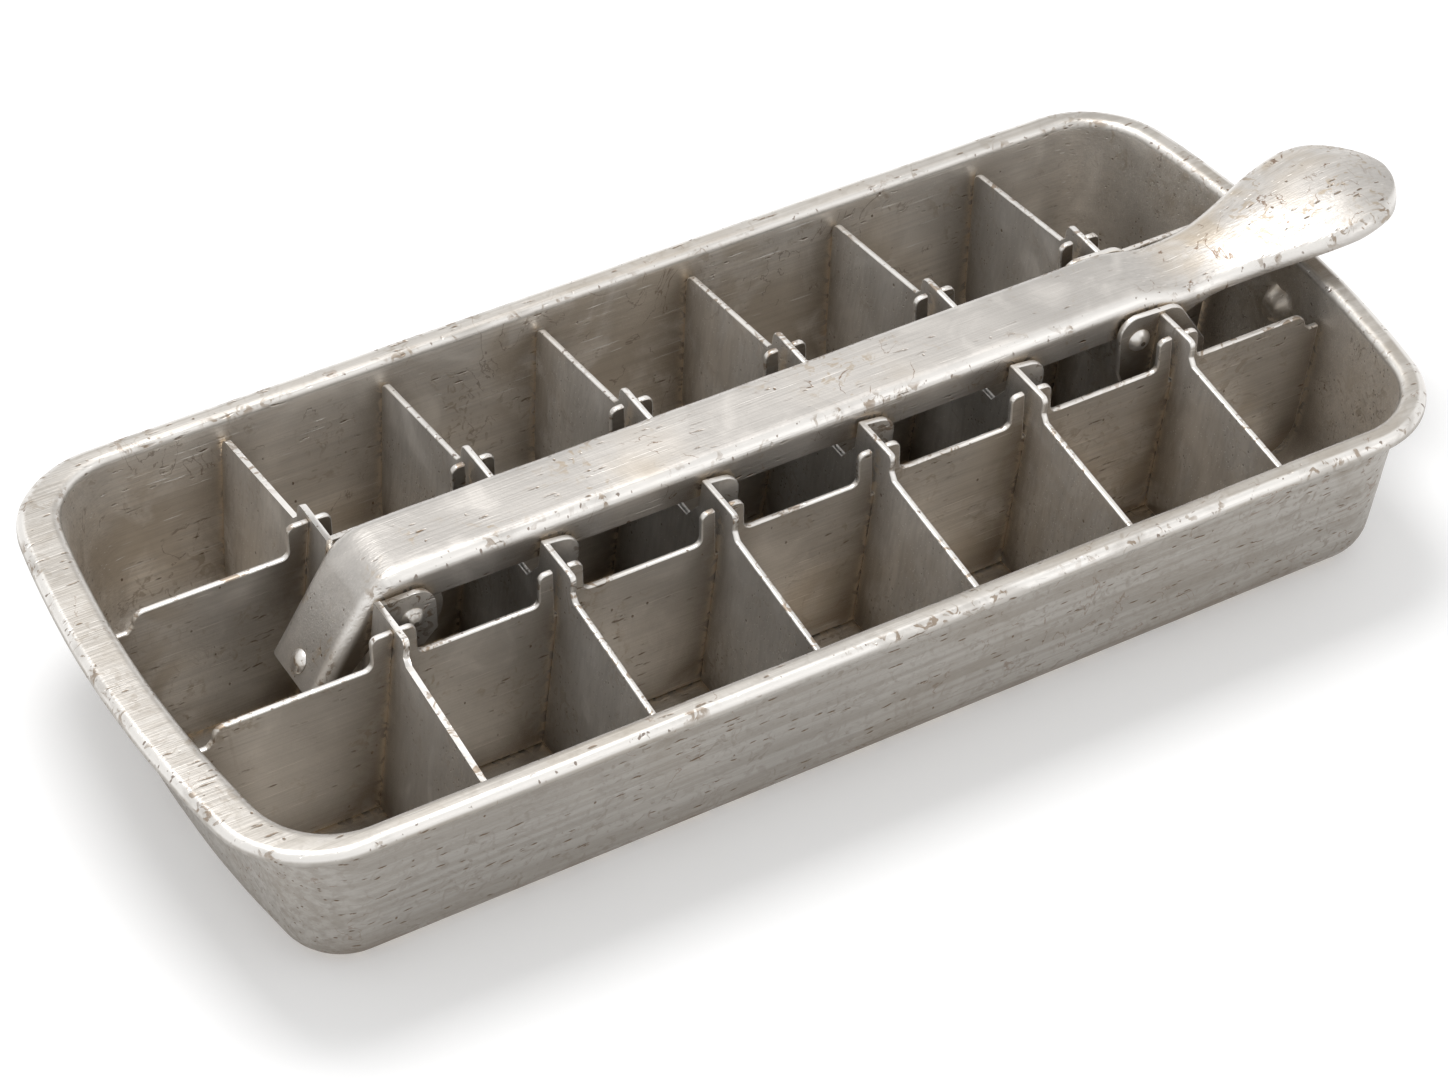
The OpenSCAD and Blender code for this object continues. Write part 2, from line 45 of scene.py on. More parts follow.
# %% [markdown]
# ## Camera
# The photograph was taken from the front left, well above the rim, with a long lens. A camera
# could be moved by eye until the edges agree. Here its place and direction were solved from
# edges measured in the picture, because far and near edges then agree together.
# %% Place the camera
IMAGE_WIDTH = 1448
FOCAL_PIXELS = 4267.0
SENSOR_WIDTH = 36.0
STANDING_AT = (-0.3171, -0.5488, 0.5791)
LOOKING_ALONG = Vector((0.37189, 0.64812, -0.66456))
camera_data = bpy.data.cameras.new("photo_camera")
camera = bpy.data.objects.new("photo_camera", camera_data)
bpy.context.scene.collection.objects.link(camera)
camera_data.sensor_width = SENSOR_WIDTH
camera_data.lens = FOCAL_PIXELS / IMAGE_WIDTH * SENSOR_WIDTH
camera_data.dof.use_dof = False
camera_data.clip_start, camera_data.clip_end = 0.05, 20
camera.location = STANDING_AT
camera.rotation_euler = LOOKING_ALONG.to_track_quat("-Z", "Y").to_euler()
bpy.context.scene.camera = camera
print("lens:", round(camera_data.lens, 1), "mm")

# %% [markdown]
# ## Tools for making pieces
# Every operator works on all that is selected, so each tool first selects just its own piece.
# Every piece keeps its place in its mesh and its object at the origin, as the CAD nodes do.
# %% Selecting and editing one piece
def deselect():
    if bpy.context.object and bpy.context.object.mode != "OBJECT":
        bpy.ops.object.mode_set(mode="OBJECT")
    bpy.ops.object.select_all(action="DESELECT")


def pick(piece):
    deselect()
    piece.select_set(True)
    bpy.context.view_layer.objects.active = piece


def in_edit_mode(piece, *steps):
    pick(piece)
    bpy.ops.object.mode_set(mode="EDIT")
    bpy.ops.mesh.select_all(action="SELECT")
    for step in steps:
        step()
    bpy.ops.object.mode_set(mode="OBJECT")


def apply_modifier(piece, kind, **settings):
    pick(piece)
    modifier = piece.modifiers.new(kind.lower(), kind)
    for key, value in settings.items():
        setattr(modifier, key, value)
    bpy.ops.object.modifier_apply(modifier=modifier.name)


def smooth(piece, degrees):
    pick(piece)
    bpy.ops.object.shade_smooth_by_angle(angle=math.radians(degrees))


def face_outwards():
    bpy.ops.mesh.normals_make_consistent(inside=False)


print("tools ready")

# %% [markdown]
# A pressed sheet could be extruded and bevelled step by step, but the pan's section and the lever's
# rings change all along their length. So a sheet starts as a grid primitive, each of its points is
# sent to its place, and the seams and open ends are closed afterwards. Two attributes go with the
# points, for the finish to read: one marks rubbed edges, which also get a painted highlight, and
# "dull" marks weathered sheet.
# %% Sheets from a grid
MERGE_DISTANCE = 2e-6


def sheet_from_grid(name, columns, rows, place, wear_and_highlight, weathered):
    """Sends each point of a grid to its place, and notes where it is rubbed and gets a painted
    highlight, and where it is dull.
    """
    deselect()
    bpy.ops.mesh.primitive_grid_add(x_subdivisions=columns, y_subdivisions=rows, size=2)
    piece = bpy.context.object
    piece.name = piece.data.name = name
    # This attribute marks rubbed edges, where the finish paints wear and a painted highlight.
    wear_and_highlight_values = piece.data.attributes.new("wear_and_highlight", "FLOAT", "POINT")
    dull = piece.data.attributes.new("dull", "FLOAT", "POINT")
    for vertex in piece.data.vertices:
        column = round((vertex.co.x + 1) / 2 * columns)
        row = round((vertex.co.y + 1) / 2 * rows)
        vertex.co = place(column, row)
        wear_and_highlight_values.data[vertex.index].value = wear_and_highlight(column, row)
        dull.data[vertex.index].value = weathered(column, row)
    in_edit_mode(piece, lambda: bpy.ops.mesh.remove_doubles(threshold=MERGE_DISTANCE),
                 face_outwards)
    return piece


def fill_open_edges(piece, belongs):
    """Fills the loop of open edges whose points belong, such as those at one height."""
    pick(piece)
    bpy.ops.object.mode_set(mode="EDIT")
    bpy.ops.mesh.select_mode(type="EDGE")
    bpy.ops.mesh.select_all(action="DESELECT")
    bpy.ops.mesh.select_non_manifold()
    bpy.ops.object.mode_set(mode="OBJECT")
    vertices = piece.data.vertices
    for edge in piece.data.edges:
        if edge.select and not belongs(vertices[edge.vertices[0]].co):
            edge.select = False
    bpy.ops.object.mode_set(mode="EDIT")
    bpy.ops.mesh.edge_face_add()
    bpy.ops.object.mode_set(mode="OBJECT")


print("sheets ready")

# %% [markdown]
# Outlines are lists of points: arcs for bends, lines between them, and an easing curve where
# one shape passes into the next. No sheet that has been used for years is quite flat, so a
# little smooth noise moves each point off its true face.
# %% Points of an outline
def arc(centre, radius, start, end, steps):
    angles = [math.radians(start + (end - start) * i / steps) for i in range(steps + 1)]
    return [(centre[0] + radius * math.cos(angle), centre[1] + radius * math.sin(angle))
            for angle in angles]


def line(start, end, steps):
    """Points between two ends, without the ends themselves."""
    return [(start[0] + (end[0] - start[0]) * i / steps, start[1] + (end[1] - start[1]) * i / steps)
            for i in range(1, steps)]


def ease(value):
    value = min(1.0, max(0.0, value))
    return value * value * (3 - 2 * value)


def uneven(point, size, depth, seed=0.0):
    """How far a hand-worn sheet stands from its true face at a point."""
    return depth * noise.noise(Vector(point) / size + Vector((seed, seed * 0.7, 3.1)))


print("halfway eased:", ease(0.5))

# %% [markdown]
# ## The pan
# A real pan is drawn from one sheet: flat floor, rounded foot, walls leaning out 7.5 degrees,
# and a flat rim whose edge is rolled down. A box could be bevelled and given a thickness, but
# the rolled rim and the bowed ends need their own section. So the sheet's section is drawn
# once and carried round the rim's outline.
# %% Section of the pan's sheet (distance in from the rim's edge, height), in millimetres
PAN_LENGTH, PAN_WIDTH, PAN_HEIGHT = 270.0, 125.0, 41.0
PAN_WALL, DRAFT = 1.2, 7.5
RIM_WIDTH, RIM_LIP, RIM_BEND, LEFT_RIM_EXTRA = 5.3, 2.6, 0.8, 3.4
FOOT_RADIUS, CORNER_RADIUS, END_RADIUS = 9.0, 22.0, 280.0
WALL_STEPS, RIM_STEPS = 30, 4
draft_tan, draft_cos = math.tan(math.radians(DRAFT)), math.cos(math.radians(DRAFT))


def inner_wall(height):
    return RIM_WIDTH + (PAN_HEIGHT - height) * draft_tan


def outer_wall(height):
    return inner_wall(height) - PAN_WALL / draft_cos


bend_height = PAN_HEIGHT - PAN_WALL - RIM_BEND
roll_centre = (PAN_WALL + RIM_BEND, bend_height)
shoulder_centre = (outer_wall(bend_height) - RIM_BEND / draft_cos, bend_height)
foot_centre = (outer_wall(FOOT_RADIUS) + FOOT_RADIUS / draft_cos, FOOT_RADIUS)
inner_foot = arc(foot_centre, FOOT_RADIUS - PAN_WALL, 270, 180 + DRAFT, 12)
top_shoulder = arc(shoulder_centre, PAN_WALL + RIM_BEND, DRAFT, 90, 6)
top_roll = arc(roll_centre, PAN_WALL + RIM_BEND, 90, 180, 8)
under_roll = arc(roll_centre, RIM_BEND, 180, 90, 5)
under_shoulder = arc(shoulder_centre, RIM_BEND, 90, DRAFT, 5)
outer_foot = arc(foot_centre, FOOT_RADIUS, 180 + DRAFT, 270, 12)
lip_low = PAN_HEIGHT - RIM_LIP
lip = [(0.0, lip_low + 0.25), (0.12, lip_low + 0.06), (0.3, lip_low)]
lip += [(PAN_WALL - across, height) for across, height in reversed(lip)]
pan_section = (inner_foot + line(inner_foot[-1], top_shoulder[0], WALL_STEPS) + top_shoulder
               + line(top_shoulder[-1], top_roll[0], RIM_STEPS) + top_roll + lip
               + under_roll + under_shoulder
               + line(under_shoulder[-1], outer_foot[0], WALL_STEPS) + outer_foot)
row_shoulder = len(inner_foot) + WALL_STEPS - 1
row_roll = row_shoulder + len(top_shoulder) + RIM_STEPS - 1
print("pan section:", len(pan_section), "points")

# %% Stations round the rim: turning centre, radius, direction outwards
corner_y = PAN_WIDTH / 2 - CORNER_RADIUS
end_centre_x = PAN_LENGTH / 2 - END_RADIUS
corner_x = end_centre_x + math.sqrt((END_RADIUS - CORNER_RADIUS) ** 2 - corner_y ** 2)
corner_turn = math.degrees(math.atan2(corner_y, corner_x - end_centre_x))


def rim_arc(x, y, radius, start, end, steps):
    return [(x, y, radius, start + (end - start) * i / steps) for i in range(steps)]


def rim_side(y, start_x, end_x, direction, steps):
    return [(start_x + (end_x - start_x) * i / steps, y, CORNER_RADIUS, direction)
            for i in range(steps)]


rim_stations = (
    rim_arc(end_centre_x, 0, END_RADIUS, -corner_turn, corner_turn, 96)
    + rim_arc(corner_x, corner_y, CORNER_RADIUS, corner_turn, 90, 24)
    + rim_side(corner_y, corner_x, -corner_x, 90, 72)
    + rim_arc(-corner_x, corner_y, CORNER_RADIUS, 90, 180 - corner_turn, 24)
    + rim_arc(-end_centre_x, 0, END_RADIUS, 180 - corner_turn, 180 + corner_turn, 40)
    + rim_arc(-corner_x, -corner_y, CORNER_RADIUS, 180 + corner_turn, 270, 24)
    + rim_side(-corner_y, -corner_x, corner_x, 270, 72)
    + rim_arc(corner_x, -corner_y, CORNER_RADIUS, 270, 360 - corner_turn, 24))
rim_stations.append(rim_stations[0])
print("stations round the rim:", len(rim_stations))

# %% [markdown]
# Three things make the pan this one and no other. At the left end the tub is set in, where
# the rim is wider. A small stop is pressed into the right end wall. And the walls and the rim
# wave a little. All of them move a point of the section after it is carried to its station.
# %% Where a point of the pan goes
STOP_Y, STOP_Z, STOP_RADIUS, STOP_DEPTH, STOP_STEEPNESS = -4.0, 28.0, 4.3, 2.7, 2.2
WAVE_SIZE, WAVE_DEPTH, DENT_SIZE, DENT_DEPTH = 26.0, 0.16, 7.0, 0.05
RIM_DIP_SIZE, RIM_DIP_DEPTH, RIM_DIP_FROM, RIM_DIP_OVER = 14.0, 0.12, 38.0, 3.0
FLOOR_STAYS_FLAT = 6.0
wall_end = PAN_LENGTH / 2 - RIM_WIDTH


def pan_point(column, row):
    x, y, radius, direction = rim_stations[column]
    inward, height = pan_section[row]
    side = math.radians(direction)
    px = x + (radius - inward) * math.cos(side)
    py = y + (radius - inward) * math.sin(side)
    if inward > PAN_WALL + RIM_BEND + 0.1:
        # The tub is set in at the left end, where the rim is wider
        px += LEFT_RIM_EXTRA * (wall_end - px) / 2 / wall_end
    if px > 0:
        # The pressed stop pushes the right end wall inwards in a small dome
        away = math.hypot(py - STOP_Y, height - STOP_Z) / STOP_RADIUS
        px -= STOP_DEPTH * ease((1 - away) * STOP_STEEPNESS)
    wave = (uneven((px, py, height * 0.4), WAVE_SIZE, WAVE_DEPTH)
            + uneven((px, py, height), DENT_SIZE, DENT_DEPTH, 4.0))
    wave *= ease(height / FLOOR_STAYS_FLAT)
    dip = RIM_DIP_DEPTH + uneven((px, py, 0), RIM_DIP_SIZE, RIM_DIP_DEPTH, 9.0)
    dip *= ease((height - RIM_DIP_FROM) / RIM_DIP_OVER)
    return Vector(((px - wave * math.cos(side)) * MM, (py - wave * math.sin(side)) * MM,
                   (height - dip) * MM))


def pan_wear_and_highlight(column, row):
    """Rubbed wear and painted highlight: 1 on the rolled edge of the rim, a little less on the fold
    into the tub.
    """
    roll = 1 - abs(row - row_roll - 3.5) / 4.5
    shoulder = 0.75 - abs(row - row_shoulder - 3) / 4.5
    return max(0.0, min(1.0, roll * 1.4), shoulder)


def pan_weathering(column, row):
    """0 inside the tub, 0.85 on the rim's flat, 1 on the outer walls and below."""
    if row <= row_shoulder:
        return 0.0
    return 0.85 if row < row_roll + len(top_roll) - 1 else 1.0


print("the stop is pressed in", STOP_DEPTH, "mm")

# %% [markdown]
# The grid becomes one open strip of sheet from the middle of the floor inside to the middle
# below. Its last column meets its first, so merging closes the tub, and two flat faces close
# the floor above and below.
# %% Make the pan
pan = sheet_from_grid("drawn_pan", len(rim_stations) - 1, len(pan_section) - 1,
                      pan_point, pan_wear_and_highlight, pan_weathering)
SAME_HEIGHT = 2e-4
for floor_height in (PAN_WALL * MM, 0.0):
    fill_open_edges(pan, lambda point: abs(point.z - floor_height) <= SAME_HEIGHT)
in_edit_mode(pan, face_outwards)
smooth(pan, 40)
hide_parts("pan")
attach(pan, "pan")
print("pan:", len(pan.data.polygons), "faces")

# %% [markdown]
# ## The lever
# One long strip is folded down along both sides, curved over at the pivot end into a short
# leg, and pressed wide and domed at the other end for the fingers. It could be a curve with a
# profile, but the profile changes from channel to spoon. So rings of points are set across it,
# from the foot of the leg to the tip, outside first and back along the inside.
# %% Sizes of the lever, in millimetres
LEVER_HALF, LEVER_WALL, LEVER_TOP, FLANGE, FOLD = 9.3, 1.3, 48.3, 7.8, 3.0
BEND_RADIUS, BEND_ANGLE, LEG_LENGTH, LEG_FLANGE = 11.0, 58.0, 22.0, 3.2
NECK_X, NECK_DIP, TIP_X, TIP_DIP = 88.0, 2.5, 155.0, 1.2
GRIP_HALF, GRIP_RISE, GRIP_CROWN, GRIP_LIP = 15.5, 4.4, 2.0, 3.2
PIVOT_X, PIVOT_Z = -75.7, 38.5
LOBE_RADIUS, PIN_RADIUS, PIN_Z = 7.4, 3.0, 32.0
LEG_RINGS, BEND_RINGS, ARM_RINGS, GRIP_RINGS, TIP_RINGS, TIP_TURN = 22, 26, 90, 40, 22, 86.0
FOLD_STEPS, ACROSS_STEPS = 8, 12
grip_turn_x = TIP_X - GRIP_HALF * 1.1
bend_z = LEVER_TOP - BEND_RADIUS
print("grip turns from x =", round(grip_turn_x, 2))

# %% Stations along the lever: place, height, pitch, turn round the tip, depth of the sides
def leg_station(along, pitch, depth):
    turn = math.radians(pitch)
    return (PIVOT_X - BEND_RADIUS * math.sin(turn) - along * math.cos(turn),
            bend_z + BEND_RADIUS * math.cos(turn) - along * math.sin(turn), pitch, 0.0, depth)


leg_rings = [leg_station(LEG_LENGTH * (1 - i / LEG_RINGS), BEND_ANGLE,
                         LEG_FLANGE + (FLANGE - LEG_FLANGE) * i / LEG_RINGS)
             for i in range(LEG_RINGS)]
bend_rings = [leg_station(0, BEND_ANGLE * (1 - i / BEND_RINGS), FLANGE)
              for i in range(BEND_RINGS)]
arm_rings = [(PIVOT_X + (NECK_X - PIVOT_X) * i / ARM_RINGS, LEVER_TOP, 0.0, 0.0, FLANGE)
             for i in range(ARM_RINGS)]
grip_rings = [(NECK_X + (grip_turn_x - NECK_X) * i / GRIP_RINGS, LEVER_TOP, 0.0, 0.0, FLANGE)
              for i in range(GRIP_RINGS + 1)]
tip_rings = [(grip_turn_x, LEVER_TOP, 0.0, TIP_TURN * i / TIP_RINGS, FLANGE)
             for i in range(1, TIP_RINGS + 1)]
lever_stations = leg_rings + bend_rings + arm_rings + grip_rings + tip_rings
print("rings along the lever:", len(lever_stations))

# %% [markdown]
# On its way from the neck to the tip the grip widens, dips and rises, domes, and its sides
# grow shallow, each over its own share of the way. The last rings narrow by the cosine of an
# angle while they move on by its sine, which closes the sheet's end in a round.
# %% One ring of the lever
WIDENS, DIPS, RISES, DROPS = (0.28, 0.5), (0.0, 0.2), (0.2, 0.7), (0.8, 0.2)
DOMES, SIDES_SHRINK = (0.2, 0.4), (0.03, 0.27)
LEVER_WAVE_SIZE, LEVER_WAVE_DEPTH = 15.0, 0.16


def over(share, span):
    """How much of a change is done, when it starts at a share and takes another share."""
    return ease((share - span[0]) / span[1])


def lever_ring(station, inset):
    along, height, pitch, turn, depth = station
    turn_cos, turn_sin = math.cos(math.radians(turn)), math.sin(math.radians(turn))
    x = along + (TIP_X - grip_turn_x - inset) * turn_sin
    share = (x - NECK_X) / (TIP_X - NECK_X)
    widening = over((along - NECK_X) / (TIP_X - NECK_X), WIDENS)
    half = (LEVER_HALF - inset + (GRIP_HALF - LEVER_HALF) * widening) * turn_cos
    radius = max((FOLD - inset) * turn_cos, 0.1)
    top = ((GRIP_RISE + NECK_DIP) * over(share, RISES) - NECK_DIP * over(share, DIPS)
           - TIP_DIP * over(share, DROPS) - inset)
    crown = GRIP_CROWN * over(share, DOMES) * turn_cos
    side_depth = depth + (GRIP_LIP - depth) * over(share, SIDES_SHRINK)
    low = top + inset - max(side_depth, FOLD + 0.2)
    side = [(half, low), (half, low * 0.67 + (top - radius) * 0.33),
            (half, low * 0.33 + (top - radius) * 0.67)]
    side += arc((half - radius, top - radius), radius, 0, 90, FOLD_STEPS)
    across = []
    for i in range(1, ACROSS_STEPS):
        k = 1 - 2 * i / ACROSS_STEPS
        across.append((k * (half - radius), top + crown * (1 - k * k)))
    pitch = math.radians(pitch)
    placed = []
    for y, rise in side + across + [(-y, z) for y, z in reversed(side)]:
        px, pz = x - rise * math.sin(pitch), height + rise * math.cos(pitch)
        wave = uneven((px, y, pz), LEVER_WAVE_SIZE, LEVER_WAVE_DEPTH, 2.0) * turn_cos
        placed.append(Vector((px - wave * math.sin(pitch), y, pz + wave * math.cos(pitch))) * MM)
    return placed


outer_rings = [lever_ring(station, 0.0) for station in lever_stations]
inner_rings = [lever_ring(station, LEVER_WALL) for station in lever_stations]
lever_loops = [outer + list(reversed(inner)) + [outer[0]]
               for outer, inner in zip(outer_rings, inner_rings)]
print("points in a ring:", len(lever_loops[0]))

# %% [markdown]
# The wear of the lever is on the two long folds, which hands and shelves rub bright, and which also
# get a painted highlight. Then the grid is sent to the rings, and the two ends are closed.
# %% Make the lever
def lever_wear_and_highlight(column, row):
    """Rubbed wear and painted highlight: 1 on the two folds of the outer skin, 0 on its middle and
    on the inside.
    """
    last = len(outer_rings[0]) - 1
    if row > last:
        return 0.0
    return max(0.0, 1 - abs(min(row, last - row) - 7) / 5)


lever = sheet_from_grid("release_lever", len(lever_loops) - 1, len(lever_loops[0]) - 1,
                        lambda column, row: lever_loops[column][row], lever_wear_and_highlight,
                        lambda column, row: 0.0)
fill_open_edges(lever, lambda point: point.x < 0)
fill_open_edges(lever, lambda point: point.x >= 0)
in_edit_mode(lever, face_outwards)
smooth(lever, 40)
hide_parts("lever")
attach(lever, "lever")
print("lever:", len(lever.data.polygons), "faces")

# %% [markdown]
# Round lobes hang from the lever's sides, with the pivot rivets and the drive pin in them.
# They could be part of the rings, but a round tab is quicker and truer as a flat cylinder
# inside the sheet's thickness, with its edges softened.
# %% Lobes of the lever's sides
LOBE_THINNER, LOBE_EDGE, LOBE_SIDES = 0.1, 0.25, 64
deselect()
lobes = []
for side in (-1, 1):
    for z, radius in ((PIVOT_Z, LOBE_RADIUS), (PIN_Z, PIN_RADIUS)):
        bpy.ops.mesh.primitive_cylinder_add(
            vertices=LOBE_SIDES, radius=radius * MM, depth=(LEVER_WALL - LOBE_THINNER) * MM,
            location=(PIVOT_X * MM, side * (LEVER_HALF - LEVER_WALL / 2) * MM, z * MM),
            rotation=(math.pi / 2, 0, 0))
        lobe = bpy.context.object
        bpy.ops.object.transform_apply(location=True, rotation=True, scale=True)
        apply_modifier(lobe, "BEVEL", width=LOBE_EDGE * MM, segments=2, limit_method="ANGLE")
        lobes.append(lobe)
deselect()
for lobe in lobes:
    lobe.select_set(True)
bpy.context.view_layer.objects.active = lobes[0]
bpy.ops.object.join()
lever_lobes = bpy.context.object
lever_lobes.name = lever_lobes.data.name = "lever_lobes"
smooth(lever_lobes, 40)
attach(lever_lobes, "lever")
print("lobes:", len(lobes))

# %% [markdown]
# ## Dividers, cheeks, rivets and the slide bar
# Their CAD solids have the right shape, but their edges are razor sharp, and no light catches
# on a sharp edge. They could be modelled again, but a copy is exact: its loose triangles are
# merged into whole faces, and its edges are bevelled, as punched sheet is. Broad faces stay
# flat in shading, so that no bevel bends the light across them.
# %% Soften the edges of copies
SHEET_EDGE, HARDWARE_EDGE = 0.28, 0.12
SAME_FACE, SHARP_FROM = math.radians(0.5), 35
BROAD_FACE, MANY_CORNERS, FACING = 100 * MM * MM, 8, 0.97


def softened(node, body, flat_axis, width=SHEET_EDGE):
    """flat_axis is the axis that the sheet's two broad faces look along."""
    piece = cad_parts[node].copy()
    piece.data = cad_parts[node].data.copy()
    piece.name = piece.data.name = "soft_" + node
    bpy.context.scene.collection.objects.link(piece)
    in_edit_mode(piece, lambda: bpy.ops.mesh.remove_doubles(threshold=1e-6),
                 lambda: bpy.ops.mesh.dissolve_limited(angle_limit=SAME_FACE))
    apply_modifier(piece, "BEVEL", width=width * MM, segments=2, limit_method="ANGLE",
                   angle_limit=math.radians(SHARP_FROM), use_clamp_overlap=True)
    # Faces other than the two broad ones are rubbed edges, where the finish paints wear and a
    # painted highlight.
    wear_and_highlight_values = piece.data.attributes.new("wear_and_highlight", "FLOAT", "FACE")
    for face in piece.data.polygons:
        wear_and_highlight_values.data[face.index].value = 0.0 if abs(face.normal[flat_axis]) > FACING else 1.0
    smooth(piece, SHARP_FROM)
    for face in piece.data.polygons:
        if len(face.vertices) > MANY_CORNERS or face.area > BROAD_FACE:
            face.use_smooth = False
    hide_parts(node)
    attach(piece, body)
    return piece


ALONG_X, ALONG_Y = 0, 1
lengthwise = [softened(node, body, ALONG_Y) for node, body in (
    ("lengthwise_divider_front", "grid"), ("lengthwise_divider_rear", "grid"),
    ("latch_cheek_front", "cross_6"), ("latch_cheek_rear", "cross_6"), ("slide_bar", "bar"))]
crosswise = [softened(f"cross_divider_{number}", "grid" if number == 1 else f"cross_{number}",
                      ALONG_X) for number in range(1, 7)]
hardware = [softened(node, body, ALONG_Y, HARDWARE_EDGE) for node, body in (
    ("pivot_rivets", "grid"), ("latch_studs", "cross_6"),
    ("heel_rivet", "lever"), ("drive_pin", "lever"))]
print("softened:", len(lengthwise), "lengthwise,", len(crosswise), "crosswise,",
      len(hardware), "small")

# %% [markdown]
# ## Finish
# Old aluminium is a warm, uneven grey. It carries fine brushed lines, scratches, small dark pits
# and brown stains, and its edges are rubbed bright. Brown painted shade, with some dirt in it,
# darkens it where sheets meet, and a painted highlight lies on its rubbed edges. All of it could be
# painted in a picture, but noise on object coordinates needs none, and its marks keep their real
# size on every piece. The bench below holds one material while it is built up.
# %% A bench for building one metal
class Metal:
    """One material in the making: its textures, and the colour laid on so far."""

    def __init__(self, name, brush):
        self.material = bpy.data.materials.new(name)
        self.material.use_nodes = True
        self.nodes = self.material.node_tree.nodes
        self.links = self.material.node_tree.links
        self.nodes.clear()
        self.place = self.add("TexCoord").outputs["Object"]
        self.cloud = self.noise(16, 3)
        self.patch = self.noise(70, 5, distortion=0.8)
        self.fleck = self.noise(380, 6, distortion=1.4)
        self.grain = self.noise(1500, 3)
        self.brushed = self.noise(1, 4, self.turned((0, 0, 0), brush))
        self.streak = self.noise(1, 3, self.turned((0, 0, 0), tuple(0.22 * s for s in brush)))

    def add(self, kind, **settings):
        node = self.nodes.new("ShaderNode" + kind)
        for key, value in settings.items():
            setattr(node, key, value)
        return node

    def feed(self, socket, value):
        if isinstance(value, bpy.types.NodeSocket):
            self.links.new(value, socket)
        elif isinstance(value, tuple) and len(socket.default_value) == 4:
            socket.default_value = (*value, 1)
        else:
            socket.default_value = value

    def math(self, operation, first, second, clamp=False):
        node = self.add("Math", operation=operation, use_clamp=clamp)
        self.feed(node.inputs[0], first)
        self.feed(node.inputs[1], second)
        return node.outputs[0]

    def where_all(self, *masks):
        result = masks[0]
        for mask in masks[1:]:
            result = self.math("MULTIPLY", result, mask)
        return result

    def turned(self, rotation, stretch):
        node = self.add("Mapping", vector_type="POINT")
        node.inputs["Rotation"].default_value = [math.radians(angle) for angle in rotation]
        node.inputs["Scale"].default_value = stretch
        self.links.new(self.place, node.inputs["Vector"])
        return node.outputs[0]

    def noise(self, scale, detail, place=None, distortion=0.0):
        node = self.add("TexNoise")
        node.inputs["Scale"].default_value = scale
        node.inputs["Detail"].default_value = detail
        node.inputs["Distortion"].default_value = distortion
        self.links.new(place or self.place, node.inputs["Vector"])
        return node.outputs["Fac"]

    def rise(self, value, low, high, to=1.0, start=0.0):
        """A smooth passage between two results, while the value goes from low to high."""
        node = self.add("MapRange", interpolation_type="SMOOTHSTEP")
        limits = {"From Min": low, "From Max": high, "To Min": start, "To Max": to}
        for name, number in limits.items():
            node.inputs[name].default_value = number
        self.links.new(value, node.inputs["Value"])
        return node.outputs["Result"]

    def blend(self, factor, first, second):
        node = self.add("Mix", data_type="RGBA")
        self.feed(node.inputs["Factor"], factor)
        self.feed(node.inputs[6], first)
        self.feed(node.inputs[7], second)
        return node.outputs[2]

    def noted(self, attribute):
        node = self.add("Attribute", attribute_type="GEOMETRY", attribute_name=attribute)
        return node.outputs["Fac"]

    def paint(self, colour, mask, amount=None):
        """Lays a colour over the last one, where the mask shows."""
        factor = mask if amount is None else self.math("MULTIPLY", mask, amount)
        self.colour = self.blend(factor, self.colour, colour)


print("bench ready")

# %% [markdown]
# The tray's scratches are long and pale, its dashes short and brown. A stretched noise would
# give bands without ends, so they are cells of a Voronoi texture. The coordinates are turned
# and squeezed along one direction, so each round cell becomes a thin stroke, and only a few
# cells, picked by their random colour, are kept.
# %% Strokes: thin marks of one length and direction
STROKE_SIZE, STROKE_CORE = 0.32, 0.144
WOBBLE_SCALE = 260.0


def strokes(metal, rotation, length, thickness, share, wobble=0.0):
    """Marks about this long and thick, in metres; share is how many cells carry one."""
    spread = 1 / (length * 2.2)
    across = 1 / (thickness * 5)
    place = metal.turned(rotation, (spread, across, across))
    cells = metal.add("TexVoronoi", feature="F1")
    cells.inputs["Scale"].default_value = 1.0
    if wobble:
        bend = metal.add("TexNoise")
        bend.inputs["Scale"].default_value = WOBBLE_SCALE
        metal.links.new(metal.place, bend.inputs["Vector"])
        shift = metal.add("VectorMath", operation="SCALE")
        shift.inputs["Scale"].default_value = wobble
        metal.links.new(bend.outputs["Color"], shift.inputs[0])
        added = metal.add("VectorMath", operation="ADD")
        metal.links.new(place, added.inputs[0])
        metal.links.new(shift.outputs[0], added.inputs[1])
        place = added.outputs[0]
    metal.links.new(place, cells.inputs["Vector"])
    picked = metal.add("SeparateColor")
    metal.links.new(cells.outputs["Color"], picked.inputs[0])
    inside = metal.rise(cells.outputs["Distance"], STROKE_SIZE, STROKE_CORE)
    kept = metal.rise(picked.outputs[0], 1 - share, 1 - share + 0.01)
    return metal.where_all(inside, kept)


print("strokes ready")

# %% [markdown]
# The first layers are the sheet itself: cloudy grey, darker streaks and fine lines along the
# way it was brushed, and paler patches. One noise could do it all, but would show its own
# pattern, so each has a noise of its own size. Brown and tan mottling lies over them.
# %% Layers: brushed grey and mottling
MOTTLE_BROWN, MOTTLE_TAN = (0.36, 0.29, 0.21), (0.43, 0.35, 0.25)


def shade(tone, factor):
    return tuple(min(1.0, channel * factor) for channel in tone)


